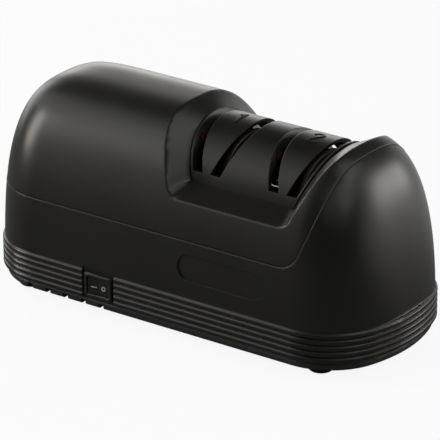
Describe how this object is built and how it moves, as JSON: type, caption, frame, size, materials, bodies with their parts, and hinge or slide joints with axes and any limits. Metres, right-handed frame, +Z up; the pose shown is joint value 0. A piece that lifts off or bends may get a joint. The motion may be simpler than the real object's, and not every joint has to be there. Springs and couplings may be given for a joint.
{
  "type": "electric knife sharpener",
  "caption": "Loaf-shaped electric knife sharpener: a saddle in its top holds V-set blade slots over spring-loaded grinding discs on a motor-driven shaft.",
  "frame": {"origin": "on the table, under the middle of the plan outline", "axes": "+X along the body from the motor end to the disc end, +Y to the rear, +Z up"},
  "size_m": [0.206, 0.0902, 0.094],
  "materials": {
    "housing": "satin moulded black",
    "base": "matte moulded black",
    "feet": "matte black",
    "leaf_steel": "blued spring steel, brown",
    "steel": "ground",
    "abrasive": "diamond grit over steel",
    "coupling": "moulded",
    "bronze": "sintered",
    "chassis": "glass-filled dark grey",
    "screws": "zinc plated",
    "motor_steel": "plated sheet",
    "magnets": "ferrite",
    "end_cap": "off-white",
    "carbon": "pressed carbon",
    "copper": "lacquered",
    "fan": "moulded",
    "switch": "gloss black",
    "board": "phenolic board",
    "capacitor": "dipped amber"
  },
  "bodies": {
    "housing": {"lower_housing": "housing", "upper_cover": "housing", "base_plate": "base", "rubber_feet": "feet", "slot_cover": "housing", "guide_springs": "leaf_steel", "chassis": "chassis", "bearing_caps": "chassis", "shaft_bushes": "bronze", "chassis_screws": "screws", "cap_screws": "screws", "cover_screws": "screws", "base_screws": "screws", "motor_can": "motor_steel", "motor_magnets": "magnets", "motor_end_cap": "end_cap", "motor_bushes": "bronze", "motor_clamps": "motor_steel", "brushes": "carbon", "switch_body": "switch", "switch_terminals": "bronze", "cord_inlet": "feet", "circuit_board": "board", "capacitor": "capacitor", "rectifier": "switch"},
    "spindle": {"wheel_shaft": "steel", "retaining_rings": "steel", "shaft_coupling": "coupling", "motor_shaft": "steel", "armature": "steel", "windings": "copper", "commutator": "copper", "cooling_fan": "fan", "coarse_spring": "steel", "fine_spring": "steel"},
    "coarse_disc_left": {"coarse_disc_left": "abrasive"},
    "coarse_disc_right": {"coarse_disc_right": "abrasive"},
    "fine_disc_left": {"fine_disc_left": "abrasive"},
    "fine_disc_right": {"fine_disc_right": "abrasive"},
    "rocker": {"switch_rocker": "switch"}
  },
  "joints": [
    {"name": "spindle_spin", "type": "hinge", "parent": "housing", "child": "spindle", "pos_m": [0, 0, 0.0618], "axis": [1, 0, 0], "continuous": true},
    {"name": "coarse_left_slide", "type": "slide", "parent": "spindle", "child": "coarse_disc_left", "axis": [1, 0, 0], "range_m": [0, 0.001], "stiffness_N_per_m": 800, "springref_m": -0.002, "deforming": ["coarse_spring"]},
    {"name": "coarse_right_slide", "type": "slide", "parent": "spindle", "child": "coarse_disc_right", "axis": [-1, 0, 0], "range_m": [0, 0.001], "stiffness_N_per_m": 800, "springref_m": -0.002, "deforming": ["coarse_spring"]},
    {"name": "fine_left_slide", "type": "slide", "parent": "spindle", "child": "fine_disc_left", "axis": [1, 0, 0], "range_m": [0, 0.001], "stiffness_N_per_m": 800, "springref_m": -0.002, "deforming": ["fine_spring"]},
    {"name": "fine_right_slide", "type": "slide", "parent": "spindle", "child": "fine_disc_right", "axis": [-1, 0, 0], "range_m": [0, 0.001], "stiffness_N_per_m": 800, "springref_m": -0.002, "deforming": ["fine_spring"]},
    {"name": "rocker_tilt", "type": "hinge", "parent": "housing", "child": "rocker", "pos_m": [-0.0322, -0.041, 0.0135], "axis": [0, 0, 1], "range_deg": [-10, 0]}
  ]
}
